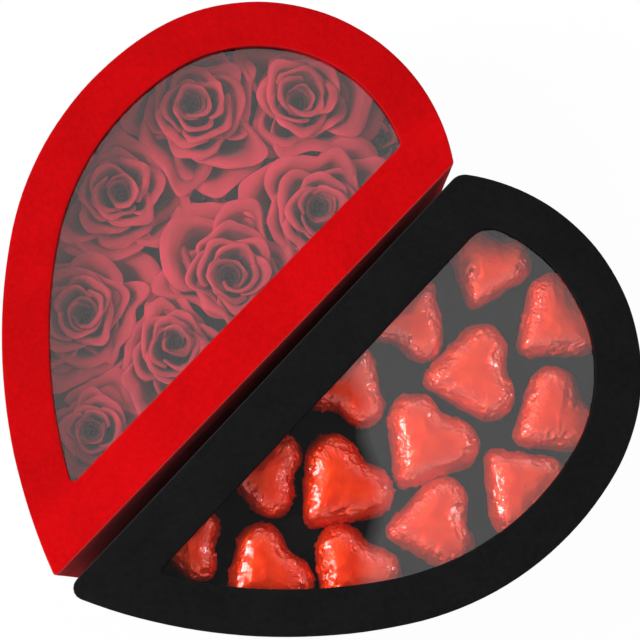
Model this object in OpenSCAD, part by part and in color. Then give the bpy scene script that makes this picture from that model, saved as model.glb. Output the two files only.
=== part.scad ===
// Valentine heart box: a heart cut from tip to cleft into two half-heart boxes.
// Each half is a set-up box of board and velvet. Its base is a tall neck in a lower shell. The
// lid lifts off: its skirt telescopes over the neck and stands flush with the shell, and its
// top is a frame round a clear window.
// The red half holds roses in floral foam, the black half foil-wrapped chocolate hearts.
// A half is drawn with u outward from its straight side and v from the tip to the cleft.

/* [Half-heart outline] */
// Length of the straight side, from the tip corner to the cleft corner
straight_len = 230; // [215:1:245]
// Radius of the lobe at the cleft end, as a share of the straight side
lobe_share = 0.3504; // [0.335:0.0005:0.365]
// Radius of the shoulder, between the lobe and the flank, as a share of the straight side
shoulder_share = 0.552; // [0.515:0.001:0.6]
// Radius of the long flank that runs down to the tip, as a share of the straight side
flank_share = 1; // [0.95:0.005:1.08]
// Direction in which the lobe leaves the cleft, away from the straight side, in degrees
cleft_heading = 52.7; // [50:0.1:56]
// Angle that the lobe turns through, in degrees
lobe_sweep = 115; // [108:1:119]
// Corner radius at the tip of the red half
red_tip_r = 1.4; // [1:0.1:4]
// Corner radius at the cleft of the red half
red_cleft_r = 2.2; // [1:0.1:6]
// Corner radius at the tip of the black half
black_tip_r = 4.8; // [2:0.1:7]
// Corner radius at the cleft of the black half
black_cleft_r = 7; // [2:0.1:10]

/* [Standing of the two halves] */
// Gap between the two lids at the tip
tip_gap = 6.6; // [5:0.1:20]
// Turn of the black half from parallel, which narrows the gap towards the cleft, in degrees
black_turn = 0.65; // [0:0.05:1]
// How far the black half stands back along the split line
black_slip = 1.75; // [0:0.05:6]

/* [Box] */
// Height of a closed box
box_h = 105; // [98:1:125]
// Depth of the lid's skirt
skirt_h = 22; // [12:1:40]
// Thickness of the board
board_t = 2; // [1.5:0.1:3]
// Thickness of the velvet wrap
velvet_t = 0.5; // [0.3:0.05:0.8]
// Thickness of the lining and backing paper
paper_t = 0.3; // [0.2:0.05:0.6]
// Play between the lid's skirt and the base, all round
lid_play = 0.6; // [0.4:0.05:1.2]
// Clearance between the base's rim and the underside of the lid
seat_gap = 0.3; // [0.1:0.05:0.8]
// Joint left open between the lid's skirt and the shell below it
shell_gap = 1.2; // [0.9:0.1:3]

/* [Window] */
// Width of the lid's frame along the straight side
border_straight = 20.6; // [16:0.1:28]
// Width of the lid's frame along the curve
border_curve = 17.9; // [15:0.1:26]
// Corner radius of the window
window_corner_r = 2; // [1:0.1:6]
// Thickness of the clear sheet
window_t = 0.4; // [0.2:0.05:0.8]
// How far the clear sheet is glued under the frame
window_margin = 8; // [4:0.1:9]

/* [Roses] */
// Height of the block of floral foam
foam_h = 46; // [36:1:56]
// Play between the foam, or the riser, and the lining
foam_play = 0.5; // [0.3:0.05:1.5]
// Room between the highest petals and the window
rose_headroom = 7.5; // [5:0.1:15]
// Radius of the calyx on which a rose head sits
calyx_r = 6; // [4:0.1:8]
// Radius of a stem
stem_r = 1.8; // [1:0.1:2.5]
// How deep a stem is pushed into the foam
stem_len = 32; // [15:1:34]
// Play of a stem in its hole
stem_play = 0.15; // [0.1:0.01:0.3]
// Clearance between neighbouring rose heads, and between them and the lining
rose_gap = 0.5; // [0.3:0.05:2]
// Height of a petal's rolled edge above the valley beside it
petal_ridge = 2.2; // [1:0.1:3]

/* [Chocolates] */
// Length of the largest chocolate heart, as a share of the box's straight side
choc_len_share = 0.1608; // [0.14:0.0002:0.162]
// Height of the largest chocolate heart
choc_h = 17; // [10:0.1:22]
// Thickness of the foil
foil_t = 0.3; // [0.2:0.05:0.4]
// Room between the foil and the chocolate
foil_gap = 0.1; // [0.05:0.01:0.2]
// Room between the chocolates and the window
choc_headroom = 9; // [5:0.1:25]

/* [Hidden] */
// Smallest corner radius, for the parallels inside a tight corner
least_r = 0.3;
// Overrun of every cut
over = 1;
// Steps along each arc of the outline
lobe_steps = 26;
shoulder_steps = 12;
flank_steps = 12;
corner_steps = 4;
// Roundness of stems and their holes
$fn = 32;

// Steps round a rose, rings over it, and turns of its petal spiral
rose_steps = 30;
rose_rings = 9;
rose_turns = 2.6;
// Rose heads: place along u and v and radius, as shares of the straight side, then height as
// a share of the tallest head, then the angle at which the outer petal starts, in degrees
rose_shares = [
    [0.422, 0.770, 0.112, 1.00, 20],
    [0.291, 0.912, 0.104, 0.98, 140],
    [0.407, 0.563, 0.102, 0.97, 250],
    [0.124, 0.789, 0.112, 1.00, 310],
    [0.155, 0.592, 0.112, 1.00, 75],
    [0.299, 0.361, 0.110, 0.98, 190],
    [0.144, 0.435, 0.098, 0.97, 345],
    [0.140, 0.223, 0.092, 0.96, 110],
    [0.307, 0.645, 0.060, 0.80, 40],
    [0.140, 0.975, 0.072, 0.92, 220]
];
// Profile of a rose head: how far its rim drops, and how deep its heart is sunk, as shares
// of its height, and the ring where the heart ends as a share of its radius
rim_drop_share = 0.42;
rim_drop_power = 2.4;
heart_sink_share = 0.10;
heart_ring_share = 0.22;
// Underside of a rose head: radius share and height share of its cup
cup_shares = [0.62, 0.22];
// Depth of the scallops that the outer petals make, as a share of the radius
scallop_share = 0.05;
scallops = 5;

// Chocolate hearts: place along u and v as shares of the straight side, direction of the
// point in degrees from u towards v, and size as a share of the largest
heart_shares = [
    [0.148, 0.924, -66, 0.86],
    [0.304, 0.932, -99, 0.92],
    [0.106, 0.772, 104, 0.84],
    [0.252, 0.761, -129, 0.96],
    [0.413, 0.804, -105, 0.91],
    [0.106, 0.609, 108, 0.84],
    [0.283, 0.611, -80, 0.97],
    [0.221, 0.450, -89, 0.98],
    [0.098, 0.380, -148, 0.84],
    [0.089, 0.198, -142, 0.72],
    [0.225, 0.250, -97, 0.90],
    [0.339, 0.354, -81, 0.91],
    [0.383, 0.515, -129, 0.92],
    [0.448, 0.678, 177, 0.92]
];
// Plan of a chocolate, as shares of its length: radius of a lobe, distance of a lobe's
// centre from the heart's axis, and radius of the point
choc_plan_shares = [0.297, 0.251, 0.135];
// Side profile of a chocolate: height share, and inset as a share of the lobe's radius
level_shares = [[0, 0.14], [0.22, 0], [0.6, 0.07], [1, 0.36]];
// How much deeper than the sides the notch between the lobes is drawn in
notch_share = 1.2;
lobe_points = 6;
tip_points = 3;

// Radii of the outline's three arcs
lobe_r = lobe_share * straight_len;
shoulder_r = shoulder_share * straight_len;
flank_r = flank_share * straight_len;

// Insets from the lid's outside, going inward through the walls
skirt_in = velvet_t + board_t;
base_out = skirt_in + lid_play;
wall_out = base_out + velvet_t;
wall_in = wall_out + board_t;
room_in = wall_in + paper_t;
foam_in = room_in + foam_play;

// Heights
lid_board_top = box_h - velvet_t;
lid_under = lid_board_top - board_t;
skirt_z = box_h - skirt_h;
rim_z = lid_under - seat_gap;
wall_top = rim_z - velvet_t;
shell_z = skirt_z - shell_gap;
floor_top = paper_t + board_t;
room_floor = floor_top + paper_t;
sheet_under = lid_under - window_t;
foam_top = room_floor + foam_h;
crown_z = sheet_under - rose_headroom;
head_h = crown_z - foam_top;
platform_top = sheet_under - choc_headroom - choc_h;
platform_under = platform_top - board_t;

// Centres of the three arcs, which meet in tangents, and the headings where they meet.
// A heading is counted from the v axis, clockwise as seen from above.
function along(h) = [-cos(h), sin(h)];
lobe_c = [lobe_r * cos(cleft_heading), straight_len - lobe_r * sin(cleft_heading)];
lobe_end = cleft_heading + lobe_sweep;
shoulder_c = lobe_c + (lobe_r - shoulder_r) * along(lobe_end);
reach = norm(shoulder_c);
flank_foot = (pow(flank_r, 2) - pow(flank_r - shoulder_r, 2) + pow(reach, 2)) / (2 * reach);
flank_rise = sqrt(pow(flank_r, 2) - pow(flank_foot, 2));
flank_c = (shoulder_c * flank_foot + [-shoulder_c[1], shoulder_c[0]] * flank_rise) / reach;
function heading(from, to) = atan2((to - from)[1], -(to - from)[0]);
function past(h, least) = h < least ? h + 360 : h;
shoulder_end = past(heading(flank_c, shoulder_c), lobe_end);

function arc(c, r, h0, h1, steps, first = 0) =
    [for (i = [first:steps]) c + r * along(h0 + (h1 - h0) * i / steps)];

// The outline of a half, inset by straight_in along the straight side and by curve_in along
// the curve, with its two corners rounded
function half_outline(straight_in, curve_in, tip_r, cleft_r) =
    let (
        rc = max(cleft_r, least_r),
        rt = max(tip_r, least_r),
        cleft_u = straight_in + rc,
        cleft_c = [cleft_u, lobe_c[1] + sqrt(pow(lobe_r - curve_in - rc, 2) - pow(cleft_u - lobe_c[0], 2))],
        cleft_h = heading(lobe_c, cleft_c),
        tip_u = straight_in + rt,
        tip_c = [tip_u, flank_c[1] - sqrt(pow(flank_r - curve_in - rt, 2) - pow(tip_u - flank_c[0], 2))],
        tip_h = past(heading(flank_c, tip_c), shoulder_end)
    )
    concat(
        arc(cleft_c, rc, 0, cleft_h, corner_steps),
        arc(lobe_c, lobe_r - curve_in, cleft_h, lobe_end, lobe_steps, 1),
        arc(shoulder_c, shoulder_r - curve_in, lobe_end, shoulder_end, shoulder_steps, 1),
        arc(flank_c, flank_r - curve_in, shoulder_end, tip_h, flank_steps, 1),
        arc(tip_c, rt, tip_h, 360, corner_steps, 1)
    );

// Corner radii of the two halves, [tip, cleft]
red_corners = [red_tip_r, red_cleft_r];
black_corners = [black_tip_r, black_cleft_r];

function ring_at(inset, corners) =
    half_outline(inset, inset, corners[0] - inset, corners[1] - inset);
function window_at(out) =
    half_outline(border_straight - out, border_curve - out, window_corner_r + out, window_corner_r + out);

// Both halves in plan, which give the middle of the whole heart
function turned(p) = [
    p[0] * cos(black_turn) - p[1] * sin(black_turn) + tip_gap,
    p[0] * sin(black_turn) + p[1] * cos(black_turn) - black_slip
];
red_plan = [for (p = ring_at(0, red_corners)) [-p[0], p[1]]];
black_plan = [for (p = ring_at(0, black_corners)) turned(p)];
both_plan = concat(red_plan, black_plan);
function middle(axis) =
    (min([for (p = both_plan) p[axis]]) + max([for (p = both_plan) p[axis]])) / 2;
middle_x = middle(0);
middle_y = middle(1);

// Colours
red_velvet = [0.66, 0.01, 0.02];
black_velvet = [0.03, 0.03, 0.035];
grey_board = [0.55, 0.52, 0.48];
clear_sheet = [0.85, 0.9, 0.92, 0.3];
foam_green = [0.13, 0.25, 0.14];
rose_red = [0.5, 0.02, 0.05];
stem_green = [0.12, 0.22, 0.08];
black_paper = [0.05, 0.05, 0.05];
foil_red = [0.8, 0.05, 0.03];
chocolate_brown = [0.2, 0.09, 0.04];

ROSES = len(rose_shares);
HEARTS = len(heart_shares);
function rose_name(i) = str("rose_", i + 1);
function heart_name(i) = str("foil_heart_", i + 1);

// Places of the two halves in the frame of the whole heart
module red_place() {
    translate([-middle_x, -middle_y, 0]) mirror([1, 0, 0]) children();
}

module black_place() {
    translate([tip_gap - middle_x, -black_slip - middle_y, 0]) rotate([0, 0, black_turn]) children();
}

// Prisms on parallels of the outline
module plate(inset, corners, z0, z1) {
    translate([0, 0, z0]) linear_extrude(z1 - z0) polygon(ring_at(inset, corners));
}

module band(outer, inner, corners, z0, z1) {
    difference() {
        plate(outer, corners, z0, z1);
        plate(inner, corners, z0 - over, z1 + over);
    }
}

module window_prism(out, z0, z1) {
    translate([0, 0, z0]) linear_extrude(z1 - z0) polygon(window_at(out));
}

// Pieces of one base
module base_backing(corners) {
    plate(wall_out, corners, 0, paper_t);
}

module base_floor(corners) {
    plate(wall_in, corners, paper_t, floor_top);
}

module base_wall(corners) {
    band(wall_out, wall_in, corners, paper_t, wall_top);
}

module base_velvet(corners) {
    difference() {
        plate(base_out, corners, 0, rim_z);
        plate(wall_out, corners, -over, wall_top);
        plate(room_in, corners, wall_top - over, rim_z + over);
    }
}

module base_lining(corners) {
    difference() {
        plate(wall_in, corners, floor_top, wall_top);
        plate(room_in, corners, room_floor, wall_top + over);
    }
}

// The shell glued round the foot of the neck, flush with the lid
module base_shell(corners) {
    band(velvet_t, base_out, corners, velvet_t, shell_z - velvet_t);
}

module shell_velvet(corners) {
    difference() {
        band(0, base_out, corners, 0, shell_z);
        plate(velvet_t, corners, velvet_t, shell_z - velvet_t);
    }
}

// Pieces of one lid
module lid_board(corners) {
    difference() {
        plate(velvet_t, corners, lid_under, lid_board_top);
        window_prism(velvet_t, lid_under - over, lid_board_top + over);
    }
}

module lid_skirt(corners) {
    band(velvet_t, skirt_in, corners, skirt_z + velvet_t, lid_under);
}

module lid_velvet(corners) {
    difference() {
        plate(0, corners, skirt_z, box_h);
        plate(velvet_t, corners, skirt_z + velvet_t, lid_under);
        plate(skirt_in, corners, skirt_z - over, skirt_z + velvet_t + over);
        lid_board_space(corners);
        window_prism(0, lid_under - over, box_h + over);
    }
}

module lid_board_space(corners) {
    difference() {
        plate(velvet_t, corners, lid_under - over, lid_board_top);
        window_prism(velvet_t, lid_under, lid_board_top + over);
    }
}

module lid_window() {
    window_prism(window_margin, sheet_under, lid_under);
}

// A closed skin over rings of equally many points, closed by a fan at each end
module skin(rings, low, high) {
    count = len(rings[0]);
    levels = len(rings);
    points = concat([for (ring = rings) for (p = ring) p], [low, high]);
    low_i = count * levels;
    high_i = low_i + 1;
    top = count * (levels - 1);
    polyhedron(points, concat(
        [for (i = [0:count - 1]) [low_i, i, (i + 1) % count]],
        [for (k = [0:levels - 2], i = [0:count - 1])
            let (a = k * count + i, b = k * count + (i + 1) % count) [a, a + count, b]],
        [for (k = [0:levels - 2], i = [0:count - 1])
            let (a = k * count + i, b = k * count + (i + 1) % count) [b, a + count, b + count]],
        [for (i = [0:count - 1]) [high_i, top + (i + 1) % count, top + i]]
    ));
}

// Half-planes [normal, reach from the rose's centre] that a rose head stays within: the
// lining, then the borders with its neighbours
room_outline = ring_at(room_in, red_corners);
function wall_planes(p) = [
    for (i = [0:len(room_outline) - 1])
        let (
            a = room_outline[i],
            b = room_outline[(i + 1) % len(room_outline)],
            side = (b - a) / norm(b - a),
            out = [-side[1], side[0]]
        )
        [out, out * (a - p) - rose_gap]
];
function rose_place(i) = [rose_shares[i][0], rose_shares[i][1]] * straight_len;
function rose_r(i) = rose_shares[i][2] * straight_len;
function neighbour_planes(i) = [
    for (j = [0:ROSES - 1])
        if (j != i)
            let (
                apart = rose_place(j) - rose_place(i),
                d = norm(apart)
            )
            [apart / d, (pow(d, 2) + pow(rose_r(i), 2) - pow(rose_r(j), 2)) / (2 * d) - rose_gap / 2]
];
function rose_reach(planes, r, a) =
    min(concat([r], [for (pl = planes) let (c = pl[0] * [cos(a), sin(a)]) if (c * r > pl[1]) pl[1] / c]));

// Height of the petals over a rose, at a share s of its radius and at the angle a
function petal_height(s, a, tall, start) =
    tall * (1 - rim_drop_share * pow(s, rim_drop_power))
    - petal_ridge
    - tall * heart_sink_share * max(0, 1 - s / heart_ring_share)
    + petal_ridge * cos(360 * rose_turns * s - a + start) * min(1, s / heart_ring_share);

// A rose head: a flat calyx, a flaring cup, and petals that wind up to the heart
module rose(i) {
    at = rose_place(i);
    r = rose_r(i);
    tall = head_h * rose_shares[i][3];
    start = rose_shares[i][4];
    planes = concat(wall_planes(at), neighbour_planes(i));
    turn = [for (k = [0:rose_steps - 1]) 360 * k / rose_steps];
    reach_at = [for (a = turn)
        rose_reach(planes, r * (1 - scallop_share + scallop_share * cos(scallops * (a - start))), a)];
    rings = concat(
        [[for (a = turn) [calyx_r * cos(a), calyx_r * sin(a), 0]]],
        [[for (k = [0:rose_steps - 1])
            let (q = max(calyx_r, reach_at[k] * cup_shares[0]))
            [q * cos(turn[k]), q * sin(turn[k]), tall * cup_shares[1]]]],
        [for (m = [0:rose_rings - 1])
            let (s = 1 - m / rose_rings)
            [for (k = [0:rose_steps - 1])
                [
                    reach_at[k] * s * cos(turn[k]),
                    reach_at[k] * s * sin(turn[k]),
                    petal_height(s, turn[k], tall, start)
                ]]]
    );
    color(rose_red) red_place() translate([at[0], at[1], foam_top])
        skin(rings, [0, 0, 0], [0, 0, petal_height(0, 0, tall, start)]);
}

// Length of a chocolate heart of the given size
function heart_len(size) = choc_len_share * straight_len * size;

// The outline of a chocolate heart of the given size, drawn in by inset, point towards -y
function heart_ring(size, inset, z) =
    let (
        long = heart_len(size),
        rl = choc_plan_shares[0] * long,
        a = choc_plan_shares[1] * long,
        rp = choc_plan_shares[2] * long,
        lobe_y = long / 2 - rl,
        tip_y = rp - long / 2,
        lean = asin((rl - rp) / norm([a, lobe_y - tip_y])),
        side = atan2(lobe_y - tip_y, a) - 90 - lean,
        start = acos(-a / rl),
        notch = [0, lobe_y + sqrt(pow(rl, 2) - pow(a, 2)) - inset * notch_share, z],
        tip_now = max(rp - inset, least_r),
        half = concat(
            [for (k = [1:lobe_points])
                let (t = start + (side - start) * k / lobe_points)
                [a + (rl - inset) * cos(t), lobe_y + (rl - inset) * sin(t), z]],
            [for (k = [1:tip_points])
                let (t = side - (side + 90) * k / tip_points)
                [tip_now * cos(t), tip_y + tip_now * sin(t), z]]
        )
    )
    concat([notch], half, [for (k = [len(half) - 2:-1:0]) [-half[k][0], half[k][1], z]]);

// A solid heart of the given size, everywhere deeper than the foil's outside by depth
module heart_solid(size, depth) {
    tall = choc_h * size;
    lobe = choc_plan_shares[0] * heart_len(size);
    rings = [for (l = level_shares)
        heart_ring(size, l[1] * lobe + depth, depth + (tall - 2 * depth) * l[0])];
    skin([for (ring = rings) [for (k = [len(ring) - 1:-1:0]) ring[k]]], [0, 0, depth], [0, 0, tall - depth]);
}

module heart_place(i) {
    share = heart_shares[i];
    black_place()
        translate([share[0] * straight_len, share[1] * straight_len, platform_top])
        rotate([0, 0, share[2] + 90])
        children();
}

module foil_heart(i) {
    color(foil_red) heart_place(i) difference() {
        heart_solid(heart_shares[i][3], 0);
        heart_solid(heart_shares[i][3], foil_t);
    }
}

module chocolate_hearts() {
    color(chocolate_brown) for (i = [0:HEARTS - 1])
        heart_place(i) heart_solid(heart_shares[i][3], foil_t + foil_gap);
}

module stem_at(i, r, z0, z1) {
    at = rose_place(i);
    translate([at[0], at[1], z0]) cylinder(h = z1 - z0, r = r);
}

module floral_foam() {
    color(foam_green) red_place() difference() {
        plate(foam_in, red_corners, room_floor, foam_top);
        for (i = [0:ROSES - 1]) stem_at(i, stem_r + stem_play, foam_top - stem_len - stem_play, foam_top + over);
    }
}

module rose_stems() {
    color(stem_green) red_place()
        for (i = [0:ROSES - 1]) stem_at(i, stem_r, foam_top - stem_len, foam_top);
}

module foam_riser() {
    color(black_paper) black_place() plate(foam_in, black_corners, room_floor, platform_under);
}

module platform_board() {
    color(black_paper) black_place() plate(foam_in, black_corners, platform_under, platform_top);
}

// The red half
module red_base_backing() { color(black_paper) red_place() base_backing(red_corners); }
module red_base_floor() { color(grey_board) red_place() base_floor(red_corners); }
module red_base_wall() { color(grey_board) red_place() base_wall(red_corners); }
module red_base_velvet() { color(red_velvet) red_place() base_velvet(red_corners); }
module red_base_lining() { color(black_paper) red_place() base_lining(red_corners); }
module red_base_shell() { color(grey_board) red_place() base_shell(red_corners); }
module red_shell_velvet() { color(red_velvet) red_place() shell_velvet(red_corners); }
module red_lid_board() { color(grey_board) red_place() lid_board(red_corners); }
module red_lid_skirt() { color(grey_board) red_place() lid_skirt(red_corners); }
module red_lid_velvet() { color(red_velvet) red_place() lid_velvet(red_corners); }
module red_window() { color(clear_sheet) red_place() lid_window(); }

// The black half
module black_base_backing() { color(black_paper) black_place() base_backing(black_corners); }
module black_base_floor() { color(grey_board) black_place() base_floor(black_corners); }
module black_base_wall() { color(grey_board) black_place() base_wall(black_corners); }
module black_base_velvet() { color(black_velvet) black_place() base_velvet(black_corners); }
module black_base_lining() { color(black_paper) black_place() base_lining(black_corners); }
module black_base_shell() { color(grey_board) black_place() base_shell(black_corners); }
module black_shell_velvet() { color(black_velvet) black_place() shell_velvet(black_corners); }
module black_lid_board() { color(grey_board) black_place() lid_board(black_corners); }
module black_lid_skirt() { color(grey_board) black_place() lid_skirt(black_corners); }
module black_lid_velvet() { color(black_velvet) black_place() lid_velvet(black_corners); }
module black_window() { color(clear_sheet) black_place() lid_window(); }

red_base_backing();
red_base_floor();
red_base_wall();
red_base_velvet();
red_base_lining();
red_base_shell();
red_shell_velvet();
red_lid_board();
red_lid_skirt();
red_lid_velvet();
red_window();
floral_foam();
rose_stems();
for (i = [0:ROSES - 1]) rose(i);
black_base_backing();
black_base_floor();
black_base_wall();
black_base_velvet();
black_base_lining();
black_base_shell();
black_shell_velvet();
black_lid_board();
black_lid_skirt();
black_lid_velvet();
black_window();
foam_riser();
platform_board();
for (i = [0:HEARTS - 1]) foil_heart(i);
chocolate_hearts();
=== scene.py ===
# %% [markdown]
# # A heart in two velvet boxes
# Two D-shaped gift boxes stand side by side and make a heart. The red one holds roses, the black one
# holds sweets in red foil, and each lid has a clear window. The construction is ready as a frame of
# plain solids: boards, papers, foam, stems and windows. This lesson dresses that frame: it wraps the
# boxes in velvet, grows the roses petal by petal, crinkles the foil, and lights it all like a
# catalogue photograph.

import math

import bmesh
import bpy
from mathutils import Matrix, Vector, noise


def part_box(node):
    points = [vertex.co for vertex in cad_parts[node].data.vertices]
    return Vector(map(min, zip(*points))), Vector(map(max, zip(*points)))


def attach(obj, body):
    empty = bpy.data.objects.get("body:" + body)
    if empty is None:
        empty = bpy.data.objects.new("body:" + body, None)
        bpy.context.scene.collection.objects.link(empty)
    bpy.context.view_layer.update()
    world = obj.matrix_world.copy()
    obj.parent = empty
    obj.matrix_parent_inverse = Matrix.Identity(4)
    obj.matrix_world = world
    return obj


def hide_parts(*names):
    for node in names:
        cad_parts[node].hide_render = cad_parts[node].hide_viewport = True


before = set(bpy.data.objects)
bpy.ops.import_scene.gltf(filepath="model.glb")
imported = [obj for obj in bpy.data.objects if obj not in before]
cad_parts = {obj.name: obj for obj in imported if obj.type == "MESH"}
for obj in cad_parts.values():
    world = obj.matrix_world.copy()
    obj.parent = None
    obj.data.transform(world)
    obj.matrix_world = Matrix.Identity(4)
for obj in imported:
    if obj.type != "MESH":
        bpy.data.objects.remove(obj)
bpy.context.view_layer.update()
MM = 0.001
NOISE_SEED = 5
noise.seed_set(NOISE_SEED)

# %% [markdown]
# ## Where the camera stands
# The photograph looks almost straight down, from about three quarters of a metre over the lids, with
# the heart's tip at the lower left. A camera is set most safely by three things: the point where the
# lens is, the point that it looks at, and a direction that should be up in the picture. The three
# axes of the camera follow from cross products, so no angle has to be guessed.

# %% Camera
LENS_POINT = Vector((64.2, -72.2, 854.3)) * MM
AIM_POINT = Vector((2.45, 22.13, 105.0)) * MM
PICTURE_UP = Vector((-0.688, 0.7257, 0.0))
LENS_MM = 106.4
SENSOR_MM = 36.0


def look_matrix(place, aim, up):
    """The place and turn of a camera or lamp that looks along its own -Z."""
    ahead = (aim - place).normalized()
    right = ahead.cross(up).normalized()
    over = right.cross(ahead)
    turn = Matrix((right, over, -ahead)).transposed()
    return Matrix.Translation(place) @ turn.to_4x4()


camera_data = bpy.data.cameras.new("camera")
camera_data.lens = LENS_MM
camera_data.sensor_width = SENSOR_MM
camera_data.clip_start = 10 * MM
camera = bpy.data.objects.new("camera", camera_data)
camera.matrix_world = look_matrix(LENS_POINT, AIM_POINT, PICTURE_UP)
bpy.context.scene.collection.objects.link(camera)
bpy.context.scene.camera = camera
PICTURE_RIGHT = camera.matrix_world.to_3x3() @ Vector((1, 0, 0))
print("The camera stands", round((LENS_POINT - AIM_POINT).length, 3), "m from the lids")

# %% [markdown]
# ## Small helpers for materials
# Every finish here is made of nodes. Writing them by hand is long, so one helper adds a node and
# fills its sockets, and another starts a material with its Principled shader. An effect that several
# finishes share becomes a node group, which is built once and placed in each of them with its own
# values.

# %% Material helpers
def fill_sockets(tree, node, sockets):
    """Gives each socket a value or a link. A name such as _1 is the socket's number."""
    for key, value in sockets.items():
        name = int(key[1:]) if key[1:].isdigit() else key.replace("_", " ")
        if isinstance(value, bpy.types.NodeSocket):
            tree.links.new(value, node.inputs[name])
        else:
            node.inputs[name].default_value = value


def add_node(tree, kind, settings=None, **sockets):
    """A new node. settings are its own properties."""
    made = tree.nodes.new("ShaderNode" + kind)
    for key, value in (settings or {}).items():
        setattr(made, key, value)
    fill_sockets(tree, made, sockets)
    return made


def colour(red, green, blue):
    return (red, green, blue, 1.0)


def new_material(name, base=None, **sockets):
    """A material with one Principled shader. Returns the material, its tree and the shader."""
    material = bpy.data.materials.new(name)
    material.use_nodes = True
    tree = material.node_tree
    tree.nodes.clear()
    shader = add_node(tree, "BsdfPrincipled", **sockets)
    if base:
        shader.inputs["Base Color"].default_value = base
    output = add_node(tree, "OutputMaterial")
    tree.links.new(shader.outputs[0], output.inputs["Surface"])
    return material, tree, shader


def new_group(name, inputs, outputs):
    """A node group with named sockets: inputs give (kind, name, value), outputs (kind, name)."""
    tree = bpy.data.node_groups.new(name, "ShaderNodeTree")
    for kind, label, value in inputs:
        made = tree.interface.new_socket(label, in_out="INPUT", socket_type="NodeSocket" + kind)
        if value is not None:
            made.default_value = value
    for kind, label in outputs:
        tree.interface.new_socket(label, in_out="OUTPUT", socket_type="NodeSocket" + kind)
    start = tree.nodes.new("NodeGroupInput")
    end = tree.nodes.new("NodeGroupOutput")
    return tree, start.outputs, end.inputs


def use_group(tree, group, **sockets):
    """A node group placed in a material, with its inputs set."""
    made = tree.nodes.new("ShaderNodeGroup")
    made.node_tree = group
    fill_sockets(tree, made, sockets)
    return made


def show(tree, shader_output):
    """Sets the shader that a material shows."""
    output = next(n for n in tree.nodes if n.type == "OUTPUT_MATERIAL")
    tree.links.new(shader_output, output.inputs["Surface"])


def object_place(tree):
    """Object coordinates, in metres on this object."""
    return add_node(tree, "TexCoord").outputs["Object"]


print("Material helpers are ready")

# %% [markdown]
# The steps that come back in every finish are short functions too: a sum or a product, a value carried
# from one range to another, a cloudy pattern, a colour made lighter or darker, and a colour that
# follows a value. Each adds its node and returns the socket with the result.

# %% Small steps
def calc(tree, operation, first, second=0.0):
    """One step of arithmetic."""
    return add_node(tree, "Math", {"operation": operation}, _0=first, _1=second).outputs[0]


def ranged(tree, value, low, high, to_low, to_high):
    """A value carried from the range low to high over to another range, and held at its ends."""
    made = add_node(tree, "MapRange", Value=value, From_Min=low, From_Max=high, To_Min=to_low, To_Max=to_high)
    return made.outputs[0]


def cloudy(tree, place, scale, detail, distortion=0.0):
    """A soft random pattern from 0 to 1, with about scale blots to the metre."""
    made = add_node(tree, "TexNoise", Vector=place, Scale=scale, Detail=detail, Distortion=distortion)
    return made.outputs["Fac"]


def scaled(tree, tint, level):
    """A colour made lighter or darker."""
    return add_node(tree, "VectorMath", {"operation": "SCALE"}, _0=tint, Scale=level).outputs[0]


def ramped(tree, value, *stops):
    """A colour that follows a value from 0 to 1. Each stop is a position and its colour."""
    made = add_node(tree, "ValToRGB", Fac=value)
    elements = made.color_ramp.elements
    elements[0].position, elements[0].color = stops[0]
    elements[1].position, elements[1].color = stops[-1]
    for position, tint in stops[1:-1]:
        elements.new(position).color = tint
    return made.outputs[0]


print("Small steps are ready")

# %% [markdown]
# ## Two shared surface effects
# Velvet is a pile of short upright fibres. From a step away it shows as a fine speckle, with broad
# soft patches where a hand has brushed the fibres over. Board and paper show short fibres and a
# slight cloudiness. Both effects are a pair of noises, a fine one and a broad one, that tint the
# colour and give a height for the bump.

# %% Surface groups
def close_group(tree, given, out, fine, broad, height):
    """Ends a group: two patterns from -1 to 1 tint its colour, and a height goes out. fine and broad
    are pairs of a pattern and the name of the input that says how strong it is."""
    parts = [calc(tree, "MULTIPLY", pattern, given[name]) for pattern, name in (fine, broad)]
    level = calc(tree, "ADD", calc(tree, "ADD", *parts), 1.0)
    tree.links.new(scaled(tree, given["Colour"], level), out["Colour"])
    tree.links.new(height, out["Height"])
    return tree


def make_pile_group():
    tree, given, out = new_group(
        "velvet_pile",
        [("Color", "Colour", colour(0.5, 0.5, 0.5)), ("Float", "Brushing", 0.2), ("Float", "Speckle", 0.3)],
        [("Color", "Colour"), ("Float", "Height")],
    )
    place = object_place(tree)
    grain = calc(tree, "ADD", cloudy(tree, place, 2600.0, 2.0), cloudy(tree, place, 520.0, 3.0))
    speckle = ranged(tree, grain, 0.7, 1.3, -1.0, 1.0)
    patches = ranged(tree, cloudy(tree, place, 38.0, 3.0, distortion=0.6), 0.3, 0.7, -1.0, 1.0)
    return close_group(tree, given, out, (speckle, "Speckle"), (patches, "Brushing"), grain)


def make_fibre_group():
    tree, given, out = new_group(
        "board_fibre",
        [("Color", "Colour", colour(0.5, 0.5, 0.5)), ("Float", "Fibres", 0.2), ("Float", "Clouds", 0.1)],
        [("Color", "Colour"), ("Float", "Height")],
    )
    place = object_place(tree)
    stretched = add_node(tree, "Mapping", Vector=place, Scale=(1.0, 0.25, 1.0)).outputs[0]
    fibre = cloudy(tree, stretched, 1800.0, 3.0)
    fine = ranged(tree, fibre, 0.35, 0.65, -1.0, 1.0)
    broad = ranged(tree, cloudy(tree, place, 60.0, 2.0), 0.35, 0.65, -1.0, 1.0)
    return close_group(tree, given, out, (fine, "Fibres"), (broad, "Clouds"), fibre)


PILE = make_pile_group()
FIBRE = make_fibre_group()
print("Groups:", PILE.name, FIBRE.name)

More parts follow.
